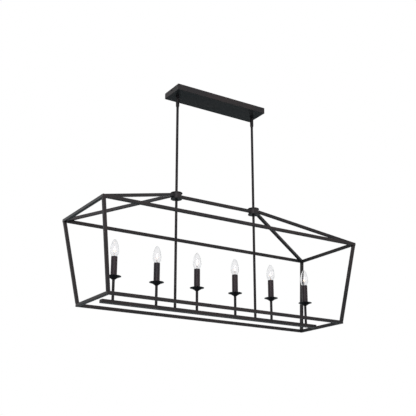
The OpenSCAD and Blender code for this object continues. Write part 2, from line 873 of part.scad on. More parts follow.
module bulb_glass(k) {
    inner = glass_outline(glass_t);
    color("#dfe6e6", 0.4) translate([candle_x(k - 1), 0, cap_top_z])
        rotate_extrude() polygon(concat(
            glass_outline(0), [for (i = [glass_steps:-1:0]) inner[i]]
        ));
}

// Screw base of a bulb, with the glass press, support wires and filament on it
module bulb_base(k) {
    r = cap_d / 2;
    turns = floor((cap_l - skirt_l - insulator_l - contact_l) / cap_pitch);
    thread_foot = -skirt_l - turns * cap_pitch;
    thread = [for (i = [0:turns - 1], j = [0:3])
        [r - cap_thread * (1 + cos(90 * j)) / 2, -skirt_l - cap_pitch * (i + j / 4)]];
    color(brass) translate([candle_x(k - 1), 0, cap_top_z]) {
        rotate_extrude() polygon(concat(
            [[0, 0], [r - cap_thread, 0]], thread,
            [[r - cap_thread, thread_foot], [tip_contact_d / 2, -cap_l + contact_l],
             [tip_contact_d / 2, -cap_l], [0, -cap_l]]
        ));
        translate([0, 0, -press_sink])
            cylinder(h = press_l + press_sink, d1 = press_d, d2 = press_top_d);
        for (sx = [-1, 1]) support_wire(sx);
        translate([-filament_w / 2, 0, filament_z]) rotate([0, 90, 0])
            cylinder(h = filament_w, d = filament_d, $fn = thin_sides);
    }
}

// Support wire from the top of the press to one end of the filament
module support_wire(sx) {
    foot = [sx * press_top_d / 4, 0, press_l - press_sink];
    head = [sx * (filament_w / 2 - filament_d / 2), 0, filament_z];
    l = norm(head - foot);
    d = (head - foot) / l;
    translate(foot) rotate([0, acos(d.z), atan2(d.y, d.x)])
        cylinder(h = l, d = support_d, $fn = thin_sides);
}

canopy_shell();
mounting_bar();
canopy_screws();
ground_screw();
swivel_cups();
swivel_lock_washers();
swivel_locknuts();
wire_connectors();
canopy_leads();
swivel_balls();
rod_couplings();
upper_rod(-1);  // upper_rod_left
upper_rod(1);  // upper_rod_right
hub_top_discs();
hub_drums();
hub_bottom_discs();
lower_rod(-1);  // lower_rod_left
lower_rod(1);  // lower_rod_right
ridge_bar();
hip_bar(-1, -1);  // hip_bar_front_left
hip_bar(1, -1);  // hip_bar_front_right
hip_bar(-1, 1);  // hip_bar_back_left
hip_bar(1, 1);  // hip_bar_back_right
color(bronze) rail_at(0, cage_l, cage_w, eave_z);  // top_rail_front
color(bronze) rail_at(180, cage_l, cage_w, eave_z);  // top_rail_back
color(bronze) rail_at(-90, cage_l, cage_w, eave_z);  // top_rail_left
color(bronze) rail_at(90, cage_l, cage_w, eave_z);  // top_rail_right
corner_post(-1, -1);  // corner_post_front_left
corner_post(1, -1);  // corner_post_front_right
corner_post(-1, 1);  // corner_post_back_left
corner_post(1, 1);  // corner_post_back_right
color(bronze) rail_at(0, base_l, base_w, base_z);  // bottom_rail_front
color(bronze) rail_at(180, base_l, base_w, base_z);  // bottom_rail_back
color(bronze) rail_at(-90, base_l, base_w, base_z);  // bottom_rail_left
color(bronze) rail_at(90, base_l, base_w, base_z);  // bottom_rail_right
candle_bar();
bar_end_caps();
bar_cover();
cover_screws();
bar_nuts();
candle_stems();
drip_dishes();
dish_nuts();
socket_brackets();
sockets();
socket_shells();
candle_sleeves();
fixture_leads();
bulb_glass(1);  // bulb_glass_1
bulb_glass(2);  // bulb_glass_2
bulb_glass(3);  // bulb_glass_3
bulb_glass(4);  // bulb_glass_4
bulb_glass(5);  // bulb_glass_5
bulb_glass(6);  // bulb_glass_6
bulb_base(1);  // bulb_base_1
bulb_base(2);  // bulb_base_2
bulb_base(3);  // bulb_base_3
bulb_base(4);  // bulb_base_4
bulb_base(5);  // bulb_base_5
bulb_base(6);  // bulb_base_6
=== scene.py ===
"""Linear island pendant: finishes for its painted cage, its glass, brass and leads, turned and
threaded pieces for its candles, and the white studio that it is seen in."""
import math

import bmesh
import bpy
import numpy as np
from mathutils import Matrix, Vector


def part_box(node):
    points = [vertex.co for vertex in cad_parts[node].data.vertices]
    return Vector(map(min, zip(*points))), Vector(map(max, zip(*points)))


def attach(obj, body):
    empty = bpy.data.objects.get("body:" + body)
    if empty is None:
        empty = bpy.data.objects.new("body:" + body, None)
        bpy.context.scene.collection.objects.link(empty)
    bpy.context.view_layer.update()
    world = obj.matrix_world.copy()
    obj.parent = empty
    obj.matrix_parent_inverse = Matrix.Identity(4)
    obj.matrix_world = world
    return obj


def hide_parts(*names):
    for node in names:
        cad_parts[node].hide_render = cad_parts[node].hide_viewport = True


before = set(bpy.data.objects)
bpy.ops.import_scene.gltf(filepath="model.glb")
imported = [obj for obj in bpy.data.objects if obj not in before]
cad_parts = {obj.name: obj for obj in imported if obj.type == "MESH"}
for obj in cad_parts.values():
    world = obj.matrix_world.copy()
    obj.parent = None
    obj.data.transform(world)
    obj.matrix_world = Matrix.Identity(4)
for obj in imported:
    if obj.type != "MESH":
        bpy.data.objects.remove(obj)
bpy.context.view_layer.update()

MM = 0.001
TURN = 2 * math.pi
CANDLES = range(1, 7)

# Meshes: points this near are one, edges this short go, and no swept path runs askew
WELD = 0.002 * MM
SHORTEST = 0.001 * MM
ASKEW = (0.29, 0.83, 0.48)

# Camera: the photograph is 416 pixels wide and was taken from below and to the left
FRAME_PIXELS = 416
FOCAL_PIXELS = 800.3
SENSOR = 36
CAMERA_AT = (-1.7952, -2.7481, -1.5956)
CAMERA_YAW = 32.55
CAMERA_RISE = 18.32

# Studio: where the floor lies, where it starts and ends to turn white, and the room's light
FLOOR_Z = -2.44
FLOOR_HALF = 30
WHITE_TO_EYE = (1.4, 4.0)
WHITE_IN_GLOSS = (7.0, 20.0)
ROOM_LOW = (0.05, 0.1, 0.12, 1.0)
ROOM_HIGH = (0.26, 0.28, 0.29, 1.0)

# Lamps: name, place, aim, side in metres, watts and colour
HEART = (0, 0, -0.7)
LAMPS = (("key_lamp", (-1.9, -2.6, 0.3), HEART, 2.0, 72, (1.0, 0.96, 1.0)),
         ("warm_lamp", (1.7, -3.0, 0.2), HEART, 1.6, 12, (1.0, 0.8, 0.8)),
         ("back_lamp", (-1.75, 2.6, 0.3), (-0.6, 0, -0.62), 1.0, 2.5, (0.88, 0.96, 1.0)))

# Bulb: glass, cap, insulator and contact, then the stem, wires and coil inside
NECK = 5.5 * MM
GLASS_WALL = 0.8 * MM
BULGE = 0.4
TAPER = 0.55
CAP_R = 6 * MM
CAP_L = 22 * MM
SKIRT_L = 4 * MM
THREAD_PITCH = 2.54 * MM
THREAD_DEPTH = 0.5 * MM
SHOULDER_DROP = 0.3 * MM
INSULATOR_L = 3.5 * MM
CONTACT_L = 1.5 * MM
CONTACT_R = 2.2 * MM
CONTACT_EDGE = 1.1 * MM
INSULATOR_R = 1.9 * CONTACT_R
INSULATOR_EDGE = 0.5 * MM
INSULATOR_SINK = 0.8 * MM
STEM_L = 24 * MM
STEM_FOOT_R = 3.6 * MM
STEM_TOP_R = 1.7 * MM
STEM_NARROWING = 1.6
PINCH_FROM = 0.55
PINCH_OVER = 0.3
PINCH_WIDE = 1.55
PINCH_DEEP = 0.5
SUPPORT_R = 0.4 * MM
SUPPORT_FOOT = 1 * MM
SUPPORT_GAP = 0.9 * MM
FILAMENT_Z = 32 * MM
FILAMENT_W = 9 * MM
FILAMENT_TURNS = 22
FILAMENT_ARCH = 0.9 * MM
COIL_R = 0.38 * MM
COIL_WIRE_R = 0.1 * MM

# Candles, nuts and washers
SLEEVE_WALL = 1.2 * MM
DISH_FOOT = 6 * MM
DISH_WALL = 1.5 * MM
DISH_SEAT = 13.9 * MM
DISH_FLARE = 1.6
TIP_HOLE_R = 4.05 * MM
TIP_NUT = (12 * MM, 2 * TIP_HOLE_R)
STUD_NUT = (14 * MM, 9.8 * MM)
WASHER_HOLE_R = 5.9 * MM
WASHER_TOOTH = 1 * MM
WASHER_TEETH = 12

# Wiring in the canopy
CONNECTOR_R = 4.5 * MM
CONNECTOR_TIP_R = 3 * MM
CONNECTOR_WALL = 1.2 * MM
CONNECTOR_FLUTES = 14
DOME_FROM = 0.86
FLUTE_FROM = 0.22
FLUTE_TO = 0.9
FLUTE_FADE = 0.12
FLUTE_DEPTH = 0.35 * MM
BORE_TO = 0.45
LEAD_R = 0.85 * MM
LEAD_RING = 1.054 * MM
LEAD_BEND = 2.6 * MM
LEAD_RISE = 0.8 * MM
LEAD_REACH = 7 * MM
GROUND_LEAD_GAP = 2.05 * MM


def lerp(a, b, t):
    """Straight blend from a to b."""
    return a + (b - a) * t


def ease(t):
    """Smooth step: 3t^2 - 2t^3, held at 0 and 1 outside its range."""
    t = np.clip(t, 0, 1)
    return t * t * (3 - 2 * t)


def arc(centre, radius, start, end, steps=6):
    """Points (r, z) on a circle about centre, from the start to the end angle in degrees."""
    a = np.radians(np.linspace(start, end, steps))
    return np.stack([centre[0] + radius * np.cos(a), centre[1] + radius * np.sin(a)], axis=-1)


def outline(*runs):
    """One profile of (r, z) points from several runs, each a point or an array of points."""
    return np.concatenate([np.atleast_2d(np.asarray(run, float)) for run in runs])


class Piece:
    """Gathers grids of points and makes one mesh object of them."""

    def __init__(self):
        self.points = []
        self.faces = []
        self.count = 0

    def grid(self, points, across=False, along=False):
        """Adds a grid of points as quads. across joins its last column to its first, and along
        its last row to its first."""
        rows, columns = points.shape[:2]
        i, j = np.meshgrid(np.arange(rows - (not along)), np.arange(columns - (not across)),
                           indexing="ij")
        down, right = (i + 1) % rows, (j + 1) % columns
        quads = np.stack([i * columns + j, i * columns + right,
                          down * columns + right, down * columns + j], axis=-1)
        self.faces.append(quads.reshape(-1, 4) + self.count)
        self.points.append(points.reshape(-1, 3))
        self.count += rows * columns
        return self

    def turned(self, profile, x, sides=64, closed=False):
        """Adds a turned surface: (r, z) becomes (x + r cos a, r sin a, z) for each angle a."""
        a = np.linspace(0, TURN, sides, endpoint=False)
        r, z = profile[:, :1], profile[:, 1:]
        points = np.stack([x + r * np.cos(a), r * np.sin(a), z + 0 * a], axis=-1)
        return self.grid(points, across=True, along=closed)

    def swept(self, path, radius, sides):
        """Adds a round bar along a path: each point carries a ring square to the path's
        direction, and both ends are drawn in to a point so that the bar is closed."""
        ahead = np.gradient(path, axis=0)
        ahead /= np.linalg.norm(ahead, axis=1, keepdims=True)
        side = np.cross(ahead, ASKEW)
        side /= np.linalg.norm(side, axis=1, keepdims=True)
        up = np.cross(ahead, side)
        a = np.linspace(0, TURN, sides, endpoint=False)[:, None]
        ring = side[:, None] * np.cos(a) + up[:, None] * np.sin(a)
        points = path[:, None] + radius * ring
        ends = [np.repeat(path[i][None, None], sides, axis=1) for i in (0, -1)]
        return self.grid(np.concatenate([ends[0], points, ends[1]]), across=True)

    def make(self, name, finish, body, slot, *nodes, crease=35):
        """Makes the object, smooth but for edges sharper than crease degrees, and gives it its
        finish, the body it rides on and the CAD nodes it stands for. Its slot is not used."""
        mesh = bpy.data.meshes.new(name)
        mesh.from_pydata(np.concatenate(self.points).tolist(), [],
                         np.concatenate(self.faces).tolist())
        shape = bmesh.new()
        shape.from_mesh(mesh)
        bmesh.ops.remove_doubles(shape, verts=shape.verts, dist=WELD)
        bmesh.ops.dissolve_degenerate(shape, edges=shape.edges, dist=SHORTEST)
        bmesh.ops.recalc_face_normals(shape, faces=shape.faces)
        shape.to_mesh(mesh)
        shape.free()
        mesh.shade_smooth()
        mesh.set_sharp_from_angle(angle=math.radians(crease))
        mesh.materials.append(finish)
        made = bpy.data.objects.new(name, mesh)
        bpy.context.scene.collection.objects.link(made)
        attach(made, body)
        if nodes:
            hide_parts(*nodes)


class Value:
    """A number on a node's socket. Arithmetic on it adds Math nodes."""

    def __init__(self, finish, socket):
        self.finish = finish
        self.socket = socket

    def math(self, operation, *values):
        """A Math node of any operation on these values."""
        return self.finish.node("ShaderNodeMath", {"operation": operation},
                                dict(enumerate(values)))

    def __add__(self, other):
        return self.math("ADD", self, other)

    __radd__ = __add__

    def __sub__(self, other):
        return self.math("SUBTRACT", self, other)

    def __rsub__(self, other):
        return self.math("SUBTRACT", other, self)

    def __mul__(self, other):
        return self.math("MULTIPLY", self, other)

    __rmul__ = __mul__

    def __truediv__(self, other):
        return self.math("DIVIDE", self, other)

    def __rtruediv__(self, other):
        return self.math("DIVIDE", other, self)

    def __pow__(self, other):
        return self.math("POWER", self, other)

    def __gt__(self, other):
        return self.math("GREATER_THAN", self, other)

    def clipped(self):
        """The value held between 0 and 1."""
        return self.math("MINIMUM", self.math("MAXIMUM", self, 0), 1)


class Finish:
    """A material, or the world, as a tree of nodes."""

    def __init__(self, name, world=False):
        store = bpy.data.worlds if world else bpy.data.materials
        self.owner = store.new(name)
        self.owner.use_nodes = True
        self.tree = self.owner.node_tree
        self.tree.nodes.clear()
        self.sink = "ShaderNodeOutputWorld" if world else "ShaderNodeOutputMaterial"

    def node(self, kind, settings=None, inputs=None, output=0):
        """Adds a node of any kind: its settings first, then its sockets' values or links."""
        made = self.tree.nodes.new(kind)
        for key, value in (settings or {}).items():
            setattr(made, key, value)
        for key, value in (inputs or {}).items():
            if isinstance(value, Value):
                self.tree.links.new(value.socket, made.inputs[key])
            else:
                made.inputs[key].default_value = value
        return Value(self, made.outputs[output])

    def place(self):
        """Object coordinates."""
        return self.node("ShaderNodeTexCoord", output="Object")

    def noise(self, place, scale, detail, rough=0.5):
        """Cloud noise from 0 to 1, with scale clouds to the metre."""
        return self.node("ShaderNodeTexNoise", inputs={
            "Vector": place, "Scale": scale, "Detail": detail, "Roughness": rough})

    def blend(self, factor, first, second):
        """Mixes two colours."""
        return self.node("ShaderNodeMix", {"data_type": "RGBA"},
                         {0: factor, 6: first, 7: second}, output=2)

    def bump(self, height, distance, strength):
        """Normals of a skin that stands up to distance metres proud where height is 1."""
        return self.node("ShaderNodeBump", inputs={
            "Height": height, "Distance": distance, "Strength": strength})

    def done(self, shader):
        """Ends the tree with the shader and returns the material or world."""
        out = self.tree.nodes.new(self.sink)
        self.tree.links.new(shader.socket, out.inputs["Surface"])
        return self.owner

    def principled(self, **values):
        """A Principled shader; each keyword is a socket's name with _ for a space."""
        return self.node("ShaderNodeBsdfPrincipled", inputs={
            key.replace("_", " "): value for key, value in values.items()})


def rgb(red, green, blue):
    """An opaque colour."""
    return (red, green, blue, 1.0)


def paint(name, colour, warm, gloss):
    """Satin paint on metal: the colour drifts towards warm in broad clouds that smears and grain
    break up, the gloss is uneven, and the skin has a fine orange peel."""
    finish = Finish(name)
    place = finish.place()
    cloud = finish.noise(place, scale=9, detail=3)
    smear = finish.noise(place, scale=60, detail=4, rough=0.6)
    grain = finish.noise(place, scale=900, detail=2)
    skin = finish.bump(grain, distance=0.05 * MM, strength=0.6)
    tone = cloud * 2.6 - 0.8 + (smear - 0.5) * 0.6 + (grain - 0.5) * 0.5
    return finish.done(finish.principled(
        Base_Color=finish.blend(tone.clipped(), colour, warm),
        Roughness=gloss + (smear - 0.5) * 0.16 + (grain - 0.5) * 0.1,
        Normal=skin, Specular_IOR_Level=0.09))


def plated(name, colour, dull, rough, grain_scale=500):
    """Plated or drawn metal: bright, with dull clouds, fine crystals and fingerprint-like
    changes of gloss."""
    finish = Finish(name)
    place = finish.place()
    cloud = finish.noise(place, scale=45, detail=4, rough=0.62)
    crystal = finish.noise(place, scale=grain_scale, detail=3)
    skin = finish.bump(crystal, distance=0.02 * MM, strength=0.6)
    return finish.done(finish.principled(
        Base_Color=finish.blend((cloud * 2 - 0.55).clipped(), colour, dull),
        Metallic=1.0,
        Roughness=rough + (cloud - 0.5) * 0.25 + (crystal - 0.5) * 0.12,
        Normal=skin))


def moulded(name, colour, pale, rough):
    """Moulded plastic or lead covering: one colour with faint clouds and a fine skin."""
    finish = Finish(name)
    place = finish.place()
    cloud = finish.noise(place, scale=80, detail=3)
    grain = finish.noise(place, scale=2200, detail=2)
    skin = finish.bump(grain, distance=0.02 * MM, strength=0.5)
    return finish.done(finish.principled(
        Base_Color=finish.blend(cloud, colour, pale),
        Roughness=rough + (grain - 0.5) * 0.15, Normal=skin))


def lead_set(name):
    """The three leads in one: white towards the front, black towards the back and bare copper
    at the middle, told apart by their distance from the light's middle plane."""
    finish = Finish(name)
    place = finish.place()
    y = finish.node("ShaderNodeSeparateXYZ", inputs={"Vector": place}, output="Y")
    grain = finish.noise(place, scale=900, detail=2)
    black_from, white_from = 0.2 * MM, 1.5 * MM
    black = y > black_from
    white = (y * -1) > white_from
    colour = finish.blend(black, rgb(0.75, 0.33, 0.16), rgb(0.02, 0.02, 0.022))
    return finish.done(finish.principled(
        Base_Color=finish.blend(white, colour, rgb(0.72, 0.71, 0.66)),
        Roughness=0.4 + (grain - 0.5) * 0.2))


def clear_glass(name):
    """Clear thin glass with a trace of blue in clouds. Its colour is painted darker where it is
    seen edge on: a painted reflection of a dim room along its rim."""
    finish = Finish(name)
    cloud = finish.noise(finish.place(), scale=50, detail=2)
    facing = finish.node("ShaderNodeLayerWeight", inputs={"Blend": 0.5}, output="Facing")
    # Painted reflection: the colour greys towards faces seen edge on
    painted_edge_reflection = facing ** 2.5
    face = finish.blend(cloud, rgb(0.91, 0.92, 0.935), rgb(0.94, 0.928, 0.925))
    return finish.done(finish.principled(
        Base_Color=finish.blend(painted_edge_reflection, face, rgb(0.4, 0.44, 0.45)),
        Roughness=0.0, IOR=1.5, Transmission_Weight=1.0))


def glowing(name):
    """Tungsten at a warm, gentle glow whose colour shimmers along the coil."""
    finish = Finish(name)
    shimmer = finish.noise(finish.place(), scale=700, detail=2)
    return finish.done(finish.principled(
        Base_Color=rgb(0.3, 0.25, 0.2), Roughness=0.4, Metallic=1.0,
        Emission_Color=finish.blend(shimmer, rgb(1.0, 0.5, 0.16), rgb(1.0, 0.72, 0.38)),
        Emission_Strength=9.0))


BRONZE = paint(
    "bronze_paint", rgb(0.027, 0.0268, 0.028), rgb(0.041, 0.034, 0.0328), 0.36)
# Painted shade: the cage's own coating written darker, so that rods, couplings and stems read as
# shaded
SHADED_TUBE_BRONZE = paint(
    "shaded_tube_paint", rgb(0.0105, 0.0096, 0.0106), rgb(0.0175, 0.015, 0.0158), 0.34)
SLEEVE_BRONZE = paint(
    "sleeve_paint", rgb(0.027, 0.0242, 0.028), rgb(0.043, 0.032, 0.0335), 0.32)
# Painted shade: the same coating written darker still, for the dishes, cups, balls and screws
# that face down into shade
DEEP_SHADED_BRONZE = paint(
    "dark_bronze_paint", rgb(0.008, 0.0078, 0.0088), rgb(0.015, 0.013, 0.0142), 0.33)
ZINC = plated("zinc_steel", rgb(0.63, 0.63, 0.6), rgb(0.42, 0.43, 0.42), 0.34)
GREEN = plated("green_screw", rgb(0.1, 0.42, 0.2), rgb(0.06, 0.27, 0.14), 0.32)
BRASS = plated("brass", rgb(0.8, 0.58, 0.26), rgb(0.6, 0.42, 0.2), 0.28, 900)
SOLDER = plated("solder", rgb(0.55, 0.55, 0.55), rgb(0.36, 0.36, 0.37), 0.4)
SUPPORT = plated("support_wire", rgb(0.42, 0.3, 0.2), rgb(0.24, 0.16, 0.1), 0.45)
PHENOLIC = moulded("phenolic", rgb(0.012, 0.01, 0.009), rgb(0.026, 0.02, 0.017), 0.3)
ORANGE = moulded("connector_plastic", rgb(0.72, 0.25, 0.04), rgb(0.8, 0.33, 0.07), 0.42)
BLACK_LEAD = moulded("black_lead", rgb(0.014, 0.014, 0.015), rgb(0.03, 0.03, 0.03), 0.45)
WHITE_LEAD = moulded("white_lead", rgb(0.7, 0.69, 0.64), rgb(0.78, 0.77, 0.73), 0.45)
COPPER = plated("bare_copper", rgb(0.85, 0.42, 0.24), rgb(0.6, 0.28, 0.16), 0.3)
LEADS = lead_set("lead_covering")
GLASS = clear_glass("clear_glass")
GLOW = glowing("filament")


def dress(finish, *names):
    """Gives CAD nodes a finish."""
    for name in names:
        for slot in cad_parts[name].material_slots:
            slot.material = finish


def middle(name):
    """The middle of a CAD node's box."""
    low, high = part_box(name)
    return (low + high) / 2


def glass_radius(s, widest, neck):
    """Radius of a candle bulb at share s of its height: from the neck it swells as a quarter
    sine up to the bulge, and from there it closes to the tip as a power of a cosine."""
    swell = neck + (widest - neck) * np.sin(TURN / 4 * np.clip(s / BULGE, 0, 1))
    close = widest * np.cos(TURN / 4 * np.clip((s - BULGE) / (1 - BULGE), 0, 1)) ** TAPER
    return np.where(s < BULGE, swell, close)


def bulb_glass(k):
    """Glass envelope: the outline goes up outside and comes down inside, a wall apart. Its
    points lie closer towards the tip, at shares 1 - (1 - t)^1.6 of the height."""
    low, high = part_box(f"bulb_glass_{k}")
    widest, height = (high.x - low.x) / 2, high.z - low.z
    s = 1 - (1 - np.linspace(0, 1, 60)) ** 1.6
    outside = np.stack([glass_radius(s, widest, NECK), low.z + s * height], axis=-1)
    inner = glass_radius(s, widest - GLASS_WALL, NECK - GLASS_WALL)
    inside = np.stack([inner, low.z + s * (height - GLASS_WALL)], axis=-1)[::-1]
    Piece().turned(outline(outside, inside), middle(f"bulb_glass_{k}").x, closed=True).make(
        f"bulb_envelope_{k}", GLASS, f"bulb_{k}", "clear_glass", f"bulb_glass_{k}", crease=60)


def bulb_cap(k, x, top):
    """Screw cap: a skirt, then a rolled thread whose radius is a wave of z / pitch less the
    angle, faded out at both ends, then the shoulder that narrows to the insulator."""
    a = np.linspace(0, TURN, 72, endpoint=False)
    foot = CAP_L - INSULATOR_L - CONTACT_L
    depth = np.linspace(0, foot, 90)[:, None]
    along = (depth - SKIRT_L) / THREAD_PITCH
    fade = ease(along) * ease((foot - depth) / THREAD_PITCH)
    wave = 0.5 - 0.5 * np.cos(TURN * along - a)
    r = CAP_R - THREAD_DEPTH * (1 - fade * wave)
    wall = np.stack([x + r * np.cos(a), r * np.sin(a), top - depth + 0 * a], axis=-1)
    lid_r = np.array([[0.0], [0.9 * NECK], [CAP_R - 1.2 * THREAD_DEPTH]])
    lid = np.stack([x + lid_r * np.cos(a), lid_r * np.sin(a), top + 0 * lid_r * a], axis=-1)
    base_r = np.array([[CAP_R - 2 * THREAD_DEPTH], [INSULATOR_R], [0.0]])
    base_z = np.array([[-SHOULDER_DROP], [-INSULATOR_SINK], [-INSULATOR_SINK]])
    base = np.stack([x + base_r * np.cos(a), base_r * np.sin(a),
                     top - foot + base_z + 0 * a], axis=-1)
    Piece().grid(np.concatenate([lid, wall, base]), across=True).make(
        f"bulb_cap_{k}", BRASS, f"bulb_{k}", "brass", f"bulb_base_{k}")


def bulb_foot(k, x, top):
    """Black glass insulator, a cone below the cap, and the solder drop on its end."""
    shoulder = top - CAP_L + CONTACT_L + INSULATOR_L - INSULATOR_SINK
    tip = top - CAP_L
    insulator = outline((0, shoulder), (INSULATOR_R, shoulder),
                        arc((CONTACT_R * 1.25, tip + CONTACT_L + INSULATOR_EDGE),
                            INSULATOR_EDGE, 0, -90),
                        (0, tip + CONTACT_L))
    Piece().turned(insulator, x, sides=40).make(
        f"bulb_insulator_{k}", PHENOLIC, f"bulb_{k}", "phenolic")
    drop = outline((0, tip + CONTACT_L), (CONTACT_R, tip + CONTACT_L),
                   arc((CONTACT_R - CONTACT_EDGE, tip + CONTACT_EDGE),
                       CONTACT_EDGE, 0, -90, 8), (0, tip))
    Piece().turned(drop, x, sides=40).make(f"bulb_contact_{k}", SOLDER, f"bulb_{k}", "brass")


def bulb_stem(k, x, top):
    """Glass stem: a flared tube that narrows upward and is pinched flat, so its width along X
    grows and its depth along Y shrinks towards the pinch."""
    a = np.linspace(0, TURN, 40, endpoint=False)
    t = np.linspace(0, 1, 28)[:, None]
    round_r = lerp(STEM_FOOT_R, STEM_TOP_R, ease(t * STEM_NARROWING))
    pinch = ease((t - PINCH_FROM) / PINCH_OVER)
    wide = round_r * lerp(1, PINCH_WIDE, pinch)
    deep = round_r * lerp(1, PINCH_DEEP, pinch)
    points = np.stack([x + wide * np.cos(a), deep * np.sin(a),
                       top + t * STEM_L + 0 * a], axis=-1)
    ends = points[[0, -1]].copy()
    ends[..., :2] = (x, 0)
    Piece().grid(np.concatenate([ends[:1], points, ends[1:]]), across=True).make(
        f"bulb_stem_{k}", GLASS, f"bulb_{k}", "clear_glass")


def bulb_wires(k, x, top):
    """Two wires that rise through the stem and lean out above it to the ends of the coil."""
    wires = Piece()
    z = np.linspace(SUPPORT_FOOT, FILAMENT_Z, 40)
    lean_from, inset = STEM_L * 0.8, 0.3 * MM
    lean = ease((z - lean_from) / (FILAMENT_Z - lean_from))
    for side in (-1, 1):
        out = side * lerp(SUPPORT_GAP, FILAMENT_W / 2 - inset, lean)
        wires.swept(np.stack([x + out, 0 * z, top + z], axis=-1), SUPPORT_R, 8)
    wires.make(f"bulb_wires_{k}", SUPPORT, f"bulb_{k}", "zinc_steel")


def bulb_filament(k, x, top):
    """Coiled filament: a helix whose axis is a shallow arch between the two wires."""
    points_a_turn, inset = 12, 0.6 * MM
    t = np.linspace(0, 1, FILAMENT_TURNS * points_a_turn)
    a = TURN * FILAMENT_TURNS * t
    arch = FILAMENT_ARCH * np.sin(TURN / 2 * t)
    path = np.stack([x + lerp(-0.5, 0.5, t) * (FILAMENT_W - inset), COIL_R * np.cos(a),
                     top + FILAMENT_Z - inset + arch + COIL_R * np.sin(a)], axis=-1)
    Piece().swept(path, COIL_WIRE_R, 6).make(
        f"bulb_filament_{k}", GLOW, f"bulb_{k}", "zinc_steel")


def bulbs():
    """All six bulbs, each in its own body."""
    for k in CANDLES:
        x, top = middle(f"bulb_glass_{k}").x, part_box(f"bulb_glass_{k}")[0].z
        bulb_glass(k)
        bulb_cap(k, x, top)
        bulb_foot(k, x, top)
        bulb_stem(k, x, top)
        bulb_wires(k, x, top)
        bulb_filament(k, x, top)


def candle_sleeves():
    """Sleeves: a thin tube with a rolled upper rim."""
    low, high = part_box("candle_sleeves")
    r, bead = (high.y - low.y) / 2, SLEEVE_WALL / 2
    profile = outline((r - SLEEVE_WALL, low.z), (r, low.z),
                      arc((r - bead, high.z - bead), bead, 0, 180, 12))
    sleeves = Piece()
    for k in CANDLES:
        sleeves.turned(profile, middle(f"bulb_glass_{k}").x, closed=True)
    sleeves.make("candle_sleeve_set", SLEEVE_BRONZE, "suspension", "dark_bronze_paint",
                 "candle_sleeves")


def drip_dishes():
    """Drip dishes: a flared cone under a rolled rim, with a flat seat round the sleeve. The
    underside's height over the foot is that of the rim times 1 - (1 - u)^flare, where u runs
    from the foot to the rim."""
    low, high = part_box("drip_dishes")
    rim, bead = (high.y - low.y) / 2, DISH_WALL / 2

    def under(r):
        """Height of the underside over the foot at radius r."""
        share = (r - DISH_FOOT) / (rim - DISH_FOOT)
        return (high.z - low.z - DISH_WALL) * (1 - (1 - np.clip(share, 0, 1)) ** DISH_FLARE)

    u = np.linspace(0, 1, 28)
    out = lerp(DISH_FOOT, rim - bead, u)
    back = lerp(rim - DISH_WALL, DISH_SEAT, u)
    seat_z = low.z + float(under(np.array(DISH_SEAT))) + DISH_WALL
    profile = outline(
        (TIP_HOLE_R, low.z), np.stack([out, low.z + under(out)], axis=-1),
        arc((rim - bead, high.z - bead), bead, -70, 150, 12),
        np.stack([back, low.z + under(back) + DISH_WALL], axis=-1), (TIP_HOLE_R, seat_z))
    dishes = Piece()
    for k in CANDLES:
        dishes.turned(profile, middle(f"bulb_glass_{k}").x, sides=96, closed=True)
    # The dishes wear the deeper painted-shade copy of the cage paint
    dishes.make("drip_dish_set", DEEP_SHADED_BRONZE, "suspension", "dark_bronze_paint", "drip_dishes")


def hex_nut(piece, x, low, high, across, bore):
    """A hexagon nut: at angle a its radius is across / 2 over the cosine of the angle to the
    nearest flat's middle, cut by a cone at each end."""
    a = np.linspace(0, TURN, 96, endpoint=False)
    flat = across / 2
    hexagon = flat / np.cos((a + TURN / 12) % (TURN / 6) - TURN / 12)
    corner = flat / math.cos(TURN / 12)
    drop = (corner - flat) * math.tan(math.radians(30))
    depth = np.linspace(0, drop, 5)
    cone = np.minimum(hexagon, flat + (depth / drop * (corner - flat))[:, None])
    rings = [np.full((1, len(a)), bore / 2), cone, cone[::-1], np.full((1, len(a)), bore / 2)]
    heights = [[high], high - depth, low + depth[::-1], [low]]
    r, z = np.concatenate(rings), np.concatenate(heights)[:, None]
    points = np.stack([x + r * np.cos(a), r * np.sin(a), z + 0 * a], axis=-1)
    piece.grid(points, across=True, along=True)


def nuts():
    """The locknuts in the canopy, the nuts under the candle bar and those in the dishes."""
    rods = [middle(f"upper_rod_{side}").x for side in ("left", "right")]
    candles = [middle(f"bulb_glass_{k}").x for k in CANDLES]
    for name, places, size, body in (("swivel_locknuts", rods, STUD_NUT, "canopy"),
                                     ("bar_nuts", rods + candles, TIP_NUT, "suspension"),
                                     ("dish_nuts", candles, TIP_NUT, "suspension")):
        low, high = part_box(name)
        piece = Piece()
        for x in places:
            hex_nut(piece, x, low.z, high.z, *size)
        piece.make(f"{name}_chamfered", ZINC, body, "zinc_steel", name, crease=25)


def lock_washers():
    """Toothed lock washers: the inner radius steps in at every tooth."""
    low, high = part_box("swivel_lock_washers")
    a = np.linspace(0, TURN, 192, endpoint=False)
    inner = WASHER_HOLE_R - WASHER_TOOTH * ease(np.sin(WASHER_TEETH * a) * 3 + 0.5)
    outer = 0 * a + (high.y - low.y) / 2
    r = np.stack([inner, outer, outer, inner])
    z = np.array([low.z, low.z, high.z, high.z])[:, None]
    washers = Piece()
    for side in ("left", "right"):
        x = middle(f"upper_rod_{side}").x
        washers.grid(np.stack([x + r * np.cos(a), r * np.sin(a), z + 0 * a], axis=-1),
                     across=True, along=True)
    washers.make("swivel_toothed_washers", ZINC, "canopy", "zinc_steel", "swivel_lock_washers",
                 crease=25)


